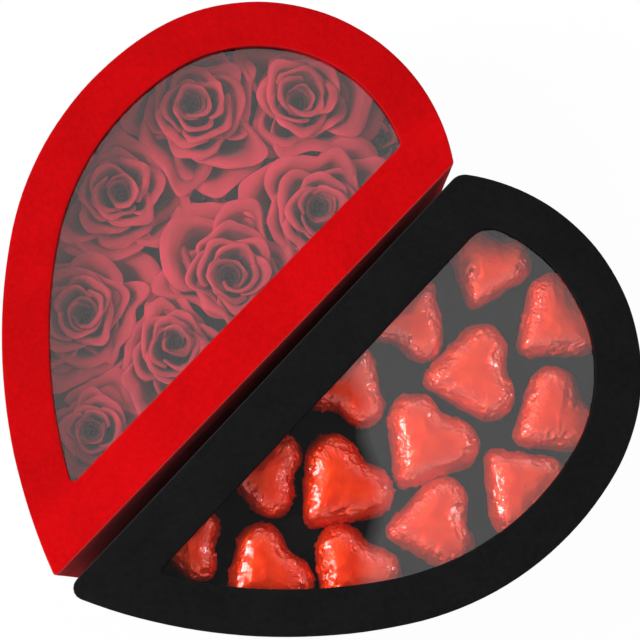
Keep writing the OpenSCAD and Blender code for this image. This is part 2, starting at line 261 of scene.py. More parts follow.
# %% [markdown]
# ## Velvet, board and paper
# Velvet has no shine of its own, but its fibre ends catch light that grazes them, so its edges glow
# a little: that is the shader's sheen. The red is deep and clean, and the black is a very dark grey,
# because a true black would lose every fold. The board is raw grey board, which only shows where the
# lid is off, and the lining is a matt black paper. Two more marks are painted sheen in the velvet's
# colour: where the cloth bends round an edge near the split line a thin paler line is painted, and
# the band along the split line, whose pile is brushed the other way, is painted a little lighter.
# The first follows the normal, the second the place on the lid.

# %% Velvet, board and paper materials
# The band along the split line is painted lighter, as sheen of pile brushed the other way: its near and far
# ends.
SHEEN_STRIP_NEAR, SHEEN_STRIP_FAR = 19 * MM, 30 * MM
# The pale line at a turned edge is painted sheen; these say where it fades away from the split line.
SHEEN_LINE_NEAR, SHEEN_LINE_FAR = 8 * MM, 12 * MM
FAR_SHEEN_LINE_SHARE = 0.15
PILE_BUMP = 0.25 * MM
FIBRE_BUMP = 0.1 * MM


def bumped(tree, shader, height, strength, distance):
    """Puts a height on a shader as a bump. distance is in metres."""
    bump = add_node(tree, "Bump", Height=height, Strength=strength, Distance=distance)
    tree.links.new(bump.outputs[0], shader.inputs["Normal"])


def fold_sheen_mask(tree):
    """1 where the cloth turns from level to upright, 0 on the flat and on the walls: where the painted sheen
    line lies.
    """
    normal = add_node(tree, "TexCoord").outputs["Normal"]
    level = add_node(tree, "SeparateXYZ", Vector=normal).outputs[2]
    rise = ranged(tree, level, 0.15, 0.45, 0.0, 1.0)
    fall = ranged(tree, level, 0.75, 0.95, 1.0, 0.0)
    return calc(tree, "MULTIPLY", rise, fall)


def make_velvet(name, base, bend, brushing, speckle, lift, sheen, sheen_tint):
    """bend is the painted sheen colour of the pale line where the cloth turns over an edge. lift is how much
    lighter the band along the split line is painted, as sheen of pile brushed the other way.
    """
    material, tree, shader = new_material(
        name, Roughness=0.95, Specular_IOR_Level=0.04, Sheen_Weight=sheen, Sheen_Roughness=0.22,
        Sheen_Tint=sheen_tint,
    )
    pile = use_group(tree, PILE, Colour=base, Brushing=brushing, Speckle=speckle)
    across = add_node(tree, "SeparateXYZ", Vector=object_place(tree)).outputs[0]
    off_split = calc(tree, "ABSOLUTE", across)
    # painted sheen: the band along the split line is made lighter
    sheen_strip = ranged(tree, off_split, SHEEN_STRIP_NEAR, SHEEN_STRIP_FAR, 1.0 + lift, 1.0)
    lit = scaled(tree, pile.outputs["Colour"], sheen_strip)
    # painted sheen: a pale line where the cloth turns over an edge, strongest near the split line
    near = ranged(tree, off_split, SHEEN_LINE_NEAR, SHEEN_LINE_FAR, 1.0, FAR_SHEEN_LINE_SHARE)
    fold_sheen_line = calc(tree, "MULTIPLY", fold_sheen_mask(tree), near)
    with_fold_sheen = add_node(tree, "Mix", {"data_type": "RGBA"}, _0=fold_sheen_line, _6=lit, _7=bend)
    tree.links.new(with_fold_sheen.outputs[2], shader.inputs["Base Color"])
    bumped(tree, shader, pile.outputs["Height"], 0.5, PILE_BUMP)
    return material


def make_board(name, base, fibres, clouds, shine):
    material, tree, shader = new_material(name, Roughness=0.85, Specular_IOR_Level=shine)
    fibre = use_group(tree, FIBRE, Colour=base, Fibres=fibres, Clouds=clouds)
    tree.links.new(fibre.outputs["Colour"], shader.inputs["Base Color"])
    bumped(tree, shader, fibre.outputs["Height"], 0.3, FIBRE_BUMP)
    return material


# bend and lift are painted sheen: the pale line at a turned edge and the lighter band at the split line.
red_velvet = make_velvet(
    "red_velvet", colour(0.465, 0.0016, 0.0030), bend=colour(0.60, 0.065, 0.062), brushing=0.07,
    speckle=0.12, lift=0.16, sheen=0.18, sheen_tint=colour(1.0, 0.26, 0.28),
)
black_velvet = make_velvet(
    "black_velvet", colour(0.0076, 0.0074, 0.0080), bend=colour(0.028, 0.028, 0.030), brushing=0.12,
    speckle=0.25, lift=0.0, sheen=0.06, sheen_tint=colour(0.8, 0.8, 0.85),
)
grey_board = make_board("grey_board", colour(0.36, 0.33, 0.29), fibres=0.16, clouds=0.08, shine=0.25)
black_paper = make_board("black_paper", colour(0.0045, 0.0045, 0.005), fibres=0.20, clouds=0.10, shine=0.04)
print("Made", red_velvet.name, black_velvet.name, grey_board.name, black_paper.name)

# %% [markdown]
# ## The clear windows
# A window is a stiff clear sheet. Seen from above it does two things at once: it lets the eye through
# and, like any glossy film, throws back a twelfth part of what is over it. Under a white ceiling that
# reflection is the grey veil that lies over the contents. The sheet is real glass-like plastic in the
# shader, but lamps have to reach the flowers through it, so for shadow and diffuse rays it is simply
# transparent.

# %% Clear sheet material
def make_clear_sheet():
    material, tree, shader = new_material(
        "clear_sheet", colour(1.0, 1.0, 1.0), Roughness=0.0, IOR=1.5, Transmission_Weight=1.0
    )
    open_sheet = add_node(tree, "BsdfTransparent", Color=colour(0.93, 0.93, 0.93))
    ray = add_node(tree, "LightPath")
    passing = calc(tree, "MAXIMUM", ray.outputs["Is Shadow Ray"], ray.outputs["Is Diffuse Ray"])
    mix = add_node(tree, "MixShader", _0=passing, _1=shader.outputs[0], _2=open_sheet.outputs[0])
    show(tree, mix.outputs[0])
    return material


clear_sheet = make_clear_sheet()
print("Made", clear_sheet.name)

# %% [markdown]
# ## The outline of a half heart
# The two boxes mirror each other. Seen from above, a half has one straight side and a curved one of
# three arcs that run into each other without a kink: a lobe, a shoulder and a long flank down to the
# tip. Written as arcs, the outline can be drawn again at any depth inside the box, because a parallel
# of an arc is an arc with another radius. The velvet, the lids and the windows all use such parallels.
# The frame doesn't tell these sizes by itself, so they stand here once more. CORNERS holds each box's
# radii at the tip and at the cleft, and every size that ends in IN or OUT is a depth from the outline.

# %% Sizes of the box
STRAIGHT_LEN = 230 * MM
LOBE_R = 0.3504 * STRAIGHT_LEN
SHOULDER_R = 0.552 * STRAIGHT_LEN
FLANK_R = 1.0 * STRAIGHT_LEN
CLEFT_HEADING = 52.7
LOBE_SWEEP = 115
CORNERS = {"red": (1.4 * MM, 2.2 * MM), "black": (4.8 * MM, 7 * MM)}
TIP_GAP = 6.6 * MM
BLACK_TURN = math.radians(0.65)
BLACK_SLIP = 1.75 * MM
VELVET_T = 0.5 * MM
SKIRT_IN = 2.5 * MM
BASE_OUT = 3.1 * MM
WALL_OUT = 3.6 * MM
ROOM_IN = 5.9 * MM
BORDER_STRAIGHT = 20.6 * MM
BORDER_CURVE = 17.9 * MM
WINDOW_CORNER_R = 2 * MM
LEAST_R = 0.3 * MM
print("Each box is", round(STRAIGHT_LEN / MM), "mm long on its straight side")

# %% Outline of arcs
def along(heading):
    """The direction of a heading in degrees, counted from the straight side's run to the cleft."""
    return Vector((-math.cos(math.radians(heading)), math.sin(math.radians(heading))))


def heading(centre, point):
    step = point - centre
    return math.degrees(math.atan2(step.y, -step.x))


def past(angle, least):
    return angle + 360 if angle < least else angle


LOBE_C = Vector((0, STRAIGHT_LEN)) - LOBE_R * along(CLEFT_HEADING)
LOBE_C.x = LOBE_R * math.cos(math.radians(CLEFT_HEADING))
LOBE_END = CLEFT_HEADING + LOBE_SWEEP
SHOULDER_C = LOBE_C + (LOBE_R - SHOULDER_R) * along(LOBE_END)


def flank_centre():
    """Centre of the flank's arc, which meets the shoulder in a tangent and ends at the tip."""
    reach = SHOULDER_C.length
    foot = (FLANK_R**2 - (FLANK_R - SHOULDER_R) ** 2 + reach**2) / (2 * reach)
    rise = math.sqrt(FLANK_R**2 - foot**2)
    return (SHOULDER_C * foot + Vector((-SHOULDER_C.y, SHOULDER_C.x)) * rise) / reach


FLANK_C = flank_centre()
SHOULDER_END = past(heading(FLANK_C, SHOULDER_C), LOBE_END)
STEPS = {"corner": 5, "lobe": 44, "shoulder": 20, "flank": 22, "straight": 24}


def arc(centre, radius, start, end, steps):
    """Points on an arc, without its first one."""
    return [centre + radius * along(start + (end - start) * k / steps) for k in range(1, steps + 1)]


def half_outline(straight_in, curve_in, tip_r, cleft_r):
    """The outline drawn in by two insets, with rounded corners at the tip and at the cleft."""
    tip_r, cleft_r = max(tip_r, LEAST_R), max(cleft_r, LEAST_R)
    cleft_u, tip_u = straight_in + cleft_r, straight_in + tip_r
    cleft_rise = math.sqrt((LOBE_R - curve_in - cleft_r) ** 2 - (cleft_u - LOBE_C.x) ** 2)
    tip_drop = math.sqrt((FLANK_R - curve_in - tip_r) ** 2 - (tip_u - FLANK_C.x) ** 2)
    cleft_c = Vector((cleft_u, LOBE_C.y + cleft_rise))
    tip_c = Vector((tip_u, FLANK_C.y - tip_drop))
    cleft_h = heading(LOBE_C, cleft_c)
    tip_h = past(heading(FLANK_C, tip_c), SHOULDER_END)
    points = arc(cleft_c, cleft_r, 0, cleft_h, STEPS["corner"])
    points += arc(LOBE_C, LOBE_R - curve_in, cleft_h, LOBE_END, STEPS["lobe"])
    points += arc(SHOULDER_C, SHOULDER_R - curve_in, LOBE_END, SHOULDER_END, STEPS["shoulder"])
    points += arc(FLANK_C, FLANK_R - curve_in, SHOULDER_END, tip_h, STEPS["flank"])
    points += arc(tip_c, tip_r, tip_h, 360, STEPS["corner"])
    start, end = points[-1], Vector((straight_in, cleft_c.y))
    count = STEPS["straight"]
    return points + [start.lerp(end, k / count) for k in range(1, count + 1)]


def drawn_in(half, depth):
    """A box's outline drawn in on all sides, with its corners' radii less by as much."""
    tip_r, cleft_r = CORNERS[half]
    return half_outline(depth, depth, tip_r - depth, cleft_r - depth)


RED_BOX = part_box("red_lid_velvet")
MIDDLE_X = -RED_BOX[1].x
MIDDLE_Y = max(p.y for p in drawn_in("red", 0)) - RED_BOX[1].y


def placed(half, point, height):
    """A point of a half's outline in the frame of the whole heart."""
    if half == "red":
        return Vector((-point.x - MIDDLE_X, point.y - MIDDLE_Y, height))
    c, s = math.cos(BLACK_TURN), math.sin(BLACK_TURN)
    turned_x = c * point.x - s * point.y + TIP_GAP
    turned_y = s * point.x + c * point.y - BLACK_SLIP
    return Vector((turned_x - MIDDLE_X, turned_y - MIDDLE_Y, height))


print("Outline of", len(drawn_in("red", 0)), "points; middle at", MIDDLE_X, MIDDLE_Y)

# %% [markdown]
# ## Wrapping a box in velvet
# A box maker glues one sheet of velvet over the board, turns it under the skirt's foot and in at the
# window. So each wrap is a thin closed skin that follows the board. It is made by sweeping: one ring
# of points is extruded to the next parallel, edge by edge, until the skin closes on itself. Then the
# edges where the cloth goes round the board are bevelled, because cloth can't turn a sharp corner.

# %% Sweep helper
MERGE_DIST = 0.001 * MM


def first_ring(mesh, ring):
    """A closed row of edges through a ring of points. Returns its vertices and edges."""
    loop = [mesh.verts.new(p) for p in ring]
    return loop, [mesh.edges.new(pair) for pair in zip(loop, loop[1:] + loop[:1])]


def next_ring(mesh, loop, edges, ring):
    """Extrudes a closed row of edges to the next ring of points. Returns its vertices and edges."""
    made = bmesh.ops.extrude_edge_only(mesh, edges=edges)["geom"]
    fresh = {e for e in made if isinstance(e, bmesh.types.BMVert)}
    loop = [next(e.other_vert(v) for e in v.link_edges if e.other_vert(v) in fresh) for v in loop]
    for vert, place in zip(loop, ring):
        vert.co = place
    return loop, [e for e in made if isinstance(e, bmesh.types.BMEdge) and all(v in fresh for v in e.verts)]


def swept(half, levels, corner_levels):
    """A closed skin through levels, each an outline and its height, with the last joined to the first.
    Returns the bmesh and the edges of the levels whose numbers are in corner_levels."""
    rings = [[placed(half, p, height) for p in outline] for outline, height in levels]
    mesh = bmesh.new()
    loop, edges = first_ring(mesh, rings[0])
    corner_edges = []
    for number, ring in enumerate(rings[1:] + rings[:1], 1):
        loop, edges = next_ring(mesh, loop, edges, ring)
        if number in corner_levels:
            corner_edges += edges
    bmesh.ops.remove_doubles(mesh, verts=mesh.verts, dist=MERGE_DIST)
    bmesh.ops.recalc_face_normals(mesh, faces=mesh.faces)
    return mesh, corner_edges


def bend_edges(mesh, edges, offset, segments):
    """Rounds the edges where the cloth goes round the board."""
    bmesh.ops.bevel(
        mesh, geom=edges, offset=offset, offset_type="OFFSET", segments=segments, profile=0.5,
        affect="EDGES", material=-1, clamp_overlap=True,
    )


def finish_piece(mesh, name, material, body, slot, *nodes, smooth_angle=40):
    """Turns a bmesh into a named piece that rides on a body and stands for CAD nodes."""
    data = bpy.data.meshes.new(name)
    mesh.to_mesh(data)
    mesh.free()
    for polygon in data.polygons:
        polygon.use_smooth = True
    data.set_sharp_from_angle(angle=math.radians(smooth_angle))
    piece = bpy.data.objects.new(name, data)
    for one in material if isinstance(material, list) else [material]:
        data.materials.append(one)
    bpy.context.scene.collection.objects.link(piece)
    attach(piece, body)
    if nodes:
        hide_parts(*nodes)
    return piece


def unevenness(mesh, size, spacing, seed):
    """Moves every point a little along its normal, as glued cloth on board lies."""
    mesh.normal_update()
    for vert in mesh.verts:
        lift = noise.noise(vert.co / spacing + Vector((seed, 0, 0)))
        vert.co += vert.normal * lift * size


print("Sweep helper is ready")

# %% [markdown]
# The cloth's own opening is given apart from the board's, because cloth that is pulled round an inner
# corner fills it. CLOTH_WINDOW holds the border's width along the straight side and along the curve,
# and the radii at the tip and at the cleft. Glued cloth doesn't lie quite flat either, so a slow noise
# moves the finished skin a little.

# %% Lid wraps
LID_TOP = RED_BOX[1].z
SKIRT_FOOT = RED_BOX[0].z
LID_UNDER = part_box("red_lid_board")[0].z
HEM = 2 * MM
CLOTH_BEND = 0.7 * MM
CLOTH_WAVE = 0.10 * MM
WAVE_SPACING = 14 * MM
WAVE_SEED = {"red": 3.0, "black": 8.0}
CLOTH_WINDOW = {
    "red": (20.8 * MM, 18.8 * MM, 1.8 * MM, 3 * MM),
    "black": (21.6 * MM, 18.5 * MM, 2 * MM, 11 * MM),
}


def mixed(ring_a, ring_b, share):
    return [a.lerp(b, share) for a, b in zip(ring_a, ring_b)]


def board_window(out):
    """The opening of the lid's board, drawn out by the thickness of what covers its edge."""
    radius = WINDOW_CORNER_R + out
    return half_outline(BORDER_STRAIGHT - out, BORDER_CURVE - out, radius, radius)


def wrap_lid(half):
    """The velvet of one lid: up the skirt, over the frame and in at the window."""
    board_top = LID_TOP - VELVET_T
    foot_top = SKIRT_FOOT + VELVET_T
    edge, pane = drawn_in(half, 0), half_outline(*CLOTH_WINDOW[half])
    levels = [
        (drawn_in(half, SKIRT_IN), foot_top),
        (drawn_in(half, SKIRT_IN), SKIRT_FOOT),
        (edge, SKIRT_FOOT),
        (edge, SKIRT_FOOT + HEM),
        (edge, (SKIRT_FOOT + LID_TOP) / 2),
        (edge, LID_TOP - HEM),
        (edge, LID_TOP),
        (mixed(edge, pane, 0.12), LID_TOP),
        (mixed(edge, pane, 0.5), LID_TOP),
        (mixed(edge, pane, 0.88), LID_TOP),
        (pane, LID_TOP),
        (pane, LID_UNDER),
        (board_window(VELVET_T), LID_UNDER),
        (board_window(VELVET_T), board_top),
        (drawn_in(half, VELVET_T), board_top),
        (drawn_in(half, VELVET_T), foot_top),
    ]
    return swept(half, levels, {6, 10})


def finish_lid(half, material):
    mesh, bends = wrap_lid(half)
    bend_edges(mesh, bends, CLOTH_BEND, 4)
    unevenness(mesh, CLOTH_WAVE, WAVE_SPACING, WAVE_SEED[half])
    return finish_piece(
        mesh, half + "_lid_wrap", material, half + "_lid", half + "_velvet", half + "_lid_velvet"
    )


lid_wraps = [finish_lid("red", red_velvet), finish_lid("black", black_velvet)]
print("Lid wraps:", [(w.name, len(w.data.polygons)) for w in lid_wraps])

# %% [markdown]
# ## The velvet of the bases
# A base is a tall neck in a lower shell. The neck is wrapped in velvet that turns over the rim and
# ends inside at the lining. The shell stands round the neck's foot, flush with the lid, so that the
# closed box has one smooth side with a fine joint. Its velvet is turned in at the top and under the
# foot. The same sweep makes both, with fewer rings, and every turned edge gets a soft bend.

# %% Base wraps
RIM_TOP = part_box("red_base_velvet")[1].z
WALL_TOP = RIM_TOP - VELVET_T
SHELL_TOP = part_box("red_shell_velvet")[1].z
BASE_HEM = 1.2 * MM
RIM_BEND = 0.4 * MM
WALL_SHARES = (0.25, 0.5, 0.75)


def upright(outline, top):
    """The levels of an upright wall from the table to its top, closer together at both ends."""
    heights = [0.0, BASE_HEM] + [top * share for share in WALL_SHARES] + [top - BASE_HEM, top]
    return [(outline, height) for height in heights]


def wrap_neck(half, material):
    outer, board, room = (drawn_in(half, depth) for depth in (BASE_OUT, WALL_OUT, ROOM_IN))
    levels = [(board, 0.0)] + upright(outer, RIM_TOP) + [(room, RIM_TOP), (room, WALL_TOP), (board, WALL_TOP)]
    mesh, bends = swept(half, levels, {1, 7, 8})
    bend_edges(mesh, bends, RIM_BEND, 3)
    return finish_piece(
        mesh, half + "_base_wrap", material, half + "_base", half + "_velvet", half + "_base_velvet"
    )


def wrap_shell(half, material):
    neck, outer, board = (drawn_in(half, depth) for depth in (BASE_OUT, 0, VELVET_T))
    board_top = SHELL_TOP - VELVET_T
    levels = [(neck, 0.0)] + upright(outer, SHELL_TOP) + [(neck, SHELL_TOP), (neck, board_top)]
    levels += [(board, board_top), (board, VELVET_T), (neck, VELVET_T)]
    mesh, bends = swept(half, levels, {1, 7})
    bend_edges(mesh, bends, CLOTH_BEND / 2, 3)
    return finish_piece(
        mesh, half + "_shell_wrap", material, half + "_base", half + "_velvet", half + "_shell_velvet"
    )


base_wraps = [wrap_neck("red", red_velvet), wrap_neck("black", black_velvet)]
base_wraps += [wrap_shell("red", red_velvet), wrap_shell("black", black_velvet)]
print("Base wraps:", [(w.name, len(w.data.polygons)) for w in base_wraps])

# %% [markdown]
# ## Roses
# A preserved rose is about two dozen petals round a tight heart. The inner ones stand upright and
# wrap each other in a spiral, the outer ones open into a cup, and every rim rolls outwards. Rolled
# corners leave the middle of a rim as a point, which is what makes a rose look like a rose. Sculpting
# would take days, so one petal is a small grid that is bent by a rule, and each petal of a rose gets
# its own numbers from its place between the heart and the outside. The frame's plain rose gives the
# room: where it stands, how tall it is and how far its petals may reach before they meet a neighbour.

# %% Room for a rose
SECTORS = 30
FOOT_SLICE = 0.01 * MM
SMALL_ROSE = 18 * MM
FULL_LEAN_R = 22 * MM
LEAN_OUT = 12 * MM
LEAN_STEP = 0.4 * MM
NEIGHBOUR_SHARE = 0.96
ROOM_PLAY = 1 * MM


def numbered(prefix):
    """The frame's nodes that are called prefix and a number, in the order of their numbers."""
    found = [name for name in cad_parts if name.startswith(prefix) and name[len(prefix):].isdigit()]
    return sorted(found, key=lambda name: int(name[len(prefix):]))


class Room:
    """What a plain rose in the frame says of the real one's foot, height and reach."""

    def __init__(self, node):
        points = [v.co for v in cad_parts[node].data.vertices]
        self.foot_z = min(p.z for p in points)
        self.top_z = max(p.z for p in points)
        foot = [p for p in points if p.z < self.foot_z + FOOT_SLICE]
        self.x = (min(p.x for p in foot) + max(p.x for p in foot)) / 2
        self.y = (min(p.y for p in foot) + max(p.y for p in foot)) / 2
        self.reach = [0.0] * SECTORS
        for p in points:
            dx, dy = p.x - self.x, p.y - self.y
            k = round(math.atan2(dy, dx) / math.tau * SECTORS) % SECTORS
            self.reach[k] = max(self.reach[k], math.hypot(dx, dy))
        self.full = max(self.reach)
        self.small = self.full < SMALL_ROSE
        self.mean = sum(self.reach) / SECTORS
        self.height = self.top_z - self.foot_z

    def limit(self, angle):
        """How far the rose's own petals may reach in a direction."""
        return between(self.reach, angle)

    def holds(self, point):
        """Whether a point lies within the rose, or so near its rim that a neighbour has to stop."""
        dx, dy = point.x - self.x, point.y - self.y
        return math.hypot(dx, dy) < self.limit(math.atan2(dy, dx)) * NEIGHBOUR_SHARE

    def look_round(self, others, wall):
        """Finds how far the loose outermost petals can lean out, up to a neighbour or the wall."""
        found = []
        for k in range(2 * SECTORS):
            angle = math.tau * k / (2 * SECTORS)
            ahead = Vector((math.cos(angle), math.sin(angle)))
            reach = self.limit(angle)
            farthest = reach + LEAN_OUT * min(1.0, self.full / FULL_LEAN_R)
            while reach < farthest:
                point = Vector((self.x, self.y)) + ahead * reach
                if not inside(point, wall) or any(other.holds(point) for other in others):
                    break
                reach += LEAN_STEP
            found.append(reach)
        count = len(found)
        self.spread = [(found[k - 1] + 2 * found[k] + found[(k + 1) % count]) / 4 for k in range(count)]


def between(values, angle):
    """A value read between those given at even turns round a circle."""
    at = angle / math.tau * len(values)
    low = math.floor(at)
    share = at - low
    return values[low % len(values)] * (1 - share) + values[(low + 1) % len(values)] * share


def inside(point, ring):
    """Whether a point lies in a closed ring: a line to one side crosses it an odd number of times."""
    odd = False
    for a, b in zip(ring, ring[1:] + ring[:1]):
        if (a.y > point.y) != (b.y > point.y):
            if point.x < a.x + (b.x - a.x) * (point.y - a.y) / (b.y - a.y):
                odd = not odd
    return odd


ROSES = numbered("rose_")
rooms = {name: Room(name) for name in ROSES}
WALL_RING = [placed("red", p, 0.0) for p in half_outline(ROOM_IN + ROOM_PLAY, ROOM_IN + ROOM_PLAY, 0, 0)]
for room in rooms.values():
    room.look_round([other for other in rooms.values() if other is not room and not other.small], WALL_RING)
print("Rooms:", {name: round(room.full / MM, 1) for name, room in rooms.items()})

# %% [markdown]
# ## One petal
# A petal starts as a flat grid. Its second coordinate runs from the claw, where it grows from the
# hip, up to the rim. The lower half climbs as a bowl, until the petal stands nearly upright, and the
# upper half follows a small arc that bends outwards and down: the roll. From above the roll is what
# one sees, a bright band with a dark cleft on its inner side. The roll is widest in the middle of the
# petal and narrow at its sides, so each petal ends in a point.

# %% Petal shape
PETAL_ACROSS = 17
PETAL_UP = 19
GOLDEN_TURN = 137.5
BUD_REACH = 0.33
LOOSE_PETALS = 6
SMALL_TALL = 0.72
# The next number lowers the stored age of a small rose's petals, which paints them darker as shade.
SMALL_ROSE_SHADE = 0.6
HIGHEST_SHARE = 0.985
CLAW_SHARE = 0.12
NEAREST_SHARE = 0.04
BOWL_SHARE = 0.45
BUD_SHIFT, OUTER_SHIFT = -0.9 * MM, 1.5 * MM
WANDER, WANDER_SPACING = 2.4 * MM, 11 * MM
RUFFLE, RUFFLE_SPACING = 1.4 * MM, 4.6 * MM
FRILL, FRILL_SPACING = 0.6 * MM, 2.1 * MM


def blend(low, high, share):
    return low + (high - low) * share


class Petal:
    """The numbers of one petal. age runs from 0 in the heart to 1 outside. The bud's petals come first,
    then the open ones, and the last LOOSE_PETALS lean out between the neighbours. Reaches and rolls are
    shares of the room's width and crown is a share of its height, and a little noise makes each petal
    differ from the last."""

    def __init__(self, number, count, start, bud_count):
        self.age = min(1.0, number / (count - LOOSE_PETALS - 1))
        self.loose = number >= count - LOOSE_PETALS
        self.turn = math.radians(start + GOLDEN_TURN * number)
        self.seed = Vector((number * 3.7, start * 0.13, 1.9))
        luck, chance, hap = (noise.noise(self.seed * k) for k in (5.1, 7.7, 9.3))
        lean = math.radians(start * 2.3)
        shift = OUTER_SHIFT if number >= bud_count else BUD_SHIFT
        self.shift = Vector((math.cos(lean), math.sin(lean))) * shift
        if number < bud_count:
            share = number / (bud_count - 1)
            self.reach = blend(0.07, BUD_REACH, share**0.9)
            self.roll_out = blend(0.02, 0.065, share)
            self.wide = math.radians(blend(150, 92, share))
            self.crown = blend(0.74, 0.93, share)
            self.roll = math.radians(blend(50, 115, share))
            self.point_share = 0.1
            self.tuck = 0.16
        elif self.loose:
            share = (number - count + LOOSE_PETALS) / (LOOSE_PETALS - 1)
            self.reach = blend(0.97, 1.04, share)
            self.roll_out = 0.24 + 0.06 * luck
            self.wide = math.radians(66 + 12 * luck)
            self.crown = blend(0.82, 0.70, share) + 0.06 * chance
            self.roll = math.radians(78 + 24 * hap)
            self.point_share = 0.6
            self.tuck = 0.05
        else:
            share = (number - bud_count + 1) / (count - LOOSE_PETALS - bud_count)
            self.reach = blend(BUD_REACH + 0.03, 1.04, share**0.9) + 0.06 * chance
            self.roll_out = blend(0.075, 0.24, share**0.8) * (1 + 0.4 * luck)
            self.wide = math.radians(blend(84, 62, share) + 14 * hap)
            self.crown = blend(0.97, 0.78, share**1.4) + 0.05 * luck
            self.roll = math.radians(blend(112, 90, share) + 24 * chance)
            self.point_share = blend(0.3, 0.72, share)
            self.tuck = blend(0.13, 0.07, share) + 0.06 * hap
        self.tilt = 0.10 * hap
        self.rounded = blend(0.03, 0.26, self.age) + (0.06 if self.loose else 0.0)
        self.slope = math.radians(46 if self.loose else blend(86, 56, self.age**1.2))

    def point(self, room, across, up):
        """Where a point of the petal lies, from the room's foot."""
        side = abs(across)
        narrow = 0.38 + 0.62 * math.sin(min(1.0, up * 1.7) * math.pi / 2)
        angle = self.turn + across * self.wide * narrow
        own = blend(room.mean, room.limit(angle), min(1.0, self.age * 1.1))
        size = between(room.spread, angle) if self.loose else own
        roll_out = size * self.roll_out * (1 - self.point_share * side**1.15)
        uneven = noise.noise(Vector((across * 2.1, 0, 0)) + self.seed * 1.3)
        reach = self.reach * (1 - self.rounded * side**1.4 + 0.16 * self.age * uneven)
        stand = max(size * (reach - self.roll_out) * (1 + self.tuck * across), room.full * NEAREST_SHARE)
        bend = self.roll * (1 + 0.12 * side)
        roll_r = roll_out / (math.sin(self.slope) - math.sin(self.slope - bend))
        crown = self.crown * (SMALL_TALL if room.small else 1.0)
        sag = blend(0.04, 0.10, self.age) * side**2 - self.tilt * across
        crest = room.height * min(HIGHEST_SHARE, crown * (1 - sag))
        stand_z = crest - roll_r * (1 - math.cos(self.slope))
        base_r = room.full * CLAW_SHARE
        base_z = room.height * blend(0.45, 0.24, self.age)
        if up < BOWL_SHARE:
            swing = self.slope * up / BOWL_SHARE
            r = base_r + (stand - base_r) * math.sin(swing) / math.sin(self.slope)
            z = base_z + (stand_z - base_z) * (1 - math.cos(swing)) / (1 - math.cos(self.slope))
        else:
            turned = self.slope - bend * (up - BOWL_SHARE) / (1 - BOWL_SHARE)
            r = stand + roll_r * (math.sin(self.slope) - math.sin(turned))
            z = stand_z + roll_r * (math.cos(turned) - math.cos(self.slope))
        place = Vector((r * math.cos(angle), r * math.sin(angle), z))
        wander = noise.noise_vector(place / WANDER_SPACING + self.seed) * WANDER
        ruffle = noise.noise_vector(place / RUFFLE_SPACING + self.seed) * RUFFLE
        frill = noise.noise_vector(place / FRILL_SPACING + self.seed) * FRILL * up**4
        free = up * up * blend(0.35, 1.0, self.age)
        return place + self.shift.to_3d() * min(1.0, up * 2) + (wander + ruffle + frill) * free


def add_petal(mesh, layer, room, petal):
    """Adds one petal to a rose. layer keeps how far up, how old and how far across each point is; the age of
    a small rose is kept lower, which paints its petals darker as shade.
    """
    grid = bmesh.ops.create_grid(mesh, x_segments=PETAL_ACROSS, y_segments=PETAL_UP, size=1.0)
    foot = Vector((room.x, room.y, room.foot_z))
    for vert in grid["verts"]:
        across, up = vert.co.x, (vert.co.y + 1) / 2
        # a small rose's petals get a lower age, which paints them darker as shade
        vert[layer] = Vector((up, petal.age * (SMALL_ROSE_SHADE if room.small else 1.0), abs(across)))
        vert.co = foot + petal.point(room, across, up)


print("A petal has", PETAL_ACROSS * PETAL_UP, "faces before it is thickened")

# %% [markdown]
# ## The petals' finish
# Rose petals are matt and a little velvety. The claw is painted dark as shade, because it lies deep
# in the crevices; the blade is a deep even red, and the rolled rim is paler. Fine veins run up each
# petal, and deep in the heart hardly any light arrives, so the innermost petals are painted darkest
# as shade. All of this follows the petal, so it reads the attribute that was stored on each point
# while the petal was bent.

# %% Petal, stem and foam materials
VEIN_BUMP = 0.5 * MM
STREAK_BUMP = 0.2 * MM
CELL_BUMP = 0.4 * MM


def make_petal_material():
    material, tree, shader = new_material(
        "rose_petal", Roughness=0.7, Specular_IOR_Level=0.25, Sheen_Weight=0.15, Sheen_Roughness=0.5,
        Sheen_Tint=colour(1.0, 0.5, 0.55),
    )
    stored = add_node(tree, "Attribute", {"attribute_name": "petal"}).outputs["Vector"]
    parts = add_node(tree, "SeparateXYZ", Vector=stored)
    up, age, across = parts.outputs[0], parts.outputs[1], parts.outputs[2]
    # The claw end is painted shade, for it lies deep in the crevices.
    shaded_claw = (0.26, colour(0.05, 0.0009, 0.002))
    blade = (0.52, colour(0.38, 0.008, 0.019))
    rim = (0.96, colour(0.60, 0.021, 0.050))
    # painted shade: the innermost petals, and those of the small roses, are darkened by their stored age
    heart = ranged(tree, age, 0.12, 0.52, 0.08, 1.0)
    mottled = ranged(tree, cloudy(tree, object_place(tree), 120.0, 3.0), 0.3, 0.7, 0.82, 1.12)
    shade = scaled(tree, ramped(tree, up, shaded_claw, blade, rim), calc(tree, "MULTIPLY", heart, mottled))
    tree.links.new(shade, shader.inputs["Base Color"])
    fan = add_node(tree, "CombineXYZ", X=across, Y=up, Z=age).outputs[0]
    bumped(tree, shader, cloudy(tree, fan, 22.0, 3.0, distortion=0.3), 0.5, VEIN_BUMP)
    return material


def make_stem_material():
    material, tree, shader = new_material("rose_stem", Roughness=0.6)
    streaks = add_node(tree, "Mapping", Vector=object_place(tree), Scale=(1.0, 1.0, 0.1)).outputs[0]
    tone = cloudy(tree, streaks, 900.0, 2.0)
    green = ramped(tree, tone, (0.0, colour(0.025, 0.06, 0.015)), (1.0, colour(0.08, 0.14, 0.04)))
    tree.links.new(green, shader.inputs["Base Color"])
    bumped(tree, shader, tone, 0.3, STREAK_BUMP)
    return material


